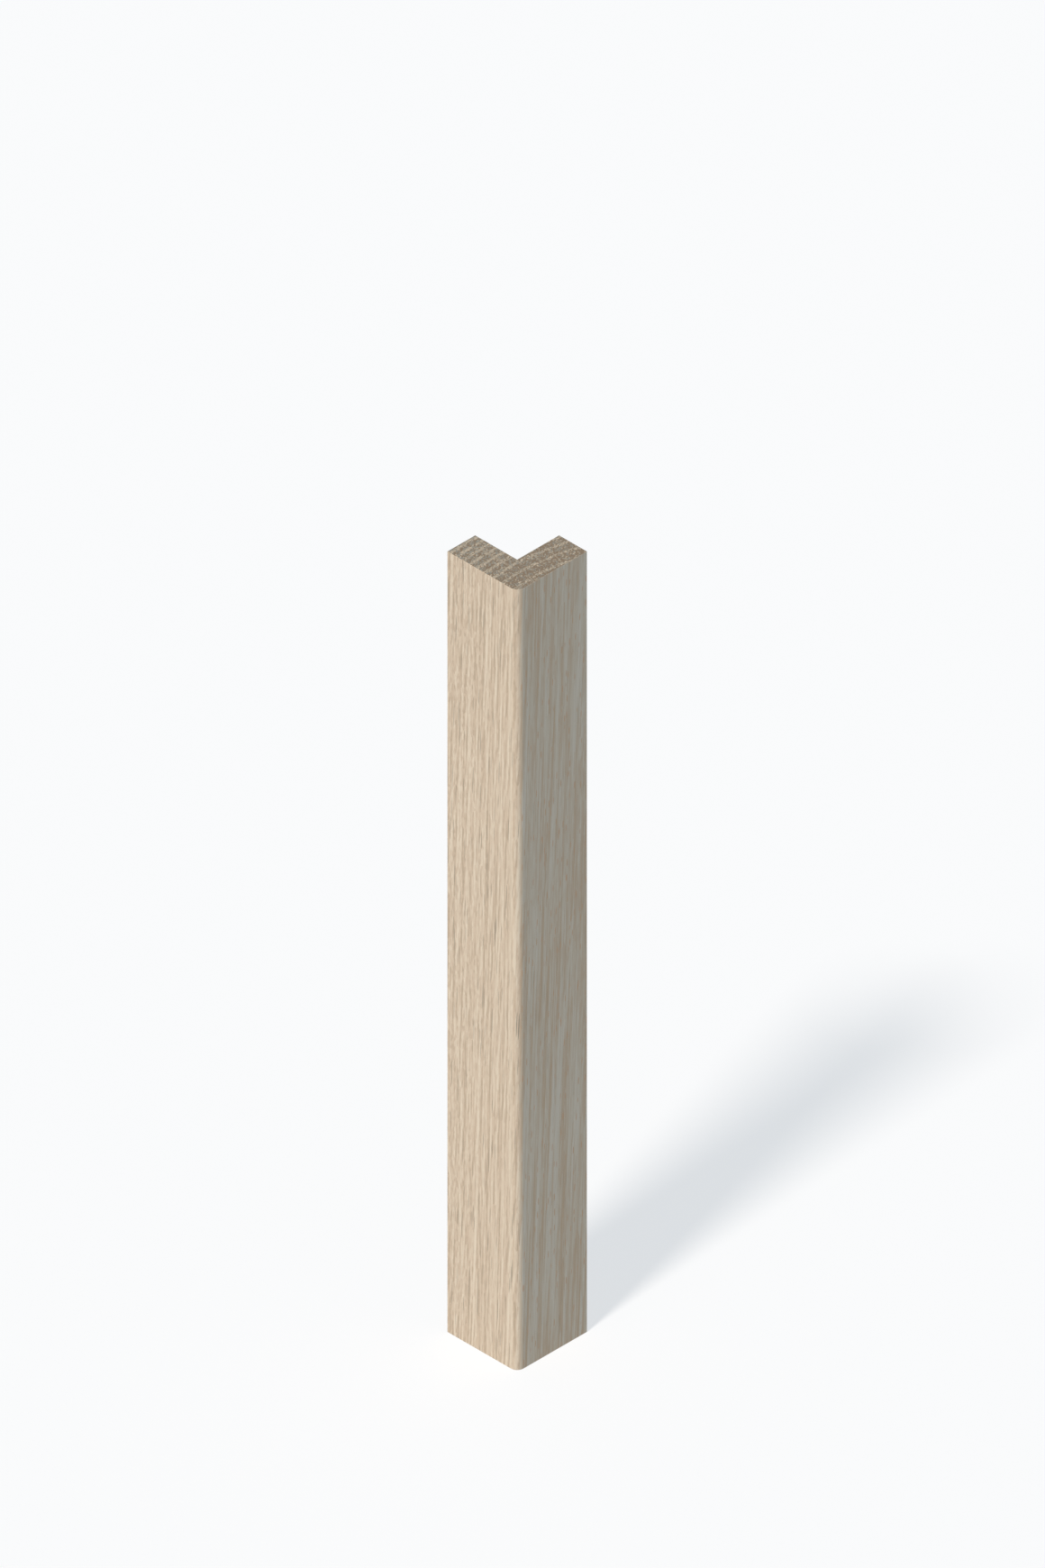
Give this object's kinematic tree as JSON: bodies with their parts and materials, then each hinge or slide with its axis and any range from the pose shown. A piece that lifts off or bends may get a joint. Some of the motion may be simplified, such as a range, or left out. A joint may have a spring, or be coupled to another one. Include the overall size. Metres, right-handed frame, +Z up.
{
  "type": "corner trim",
  "caption": "Solid oak corner trim, L-shaped in section with an eased outer arris, that covers and guards the outside corner of a wall.",
  "frame": {"origin": "on the inner corner line, where the wall's corner sits, at the foot", "axes": "+Z up along the trim; the front leg lies against a wall face that looks along -Y, the side leg against one that looks along +X, and the wall fills x below 0 and y above 0"},
  "size_m": [0.03, 0.03, 0.29],
  "materials": {
    "oak": "planed light oak with a thin matt oil, open grain, sawn end grain"
  },
  "bodies": {
    "root": {"corner_trim": "oak"}
  },
  "joints": []
}
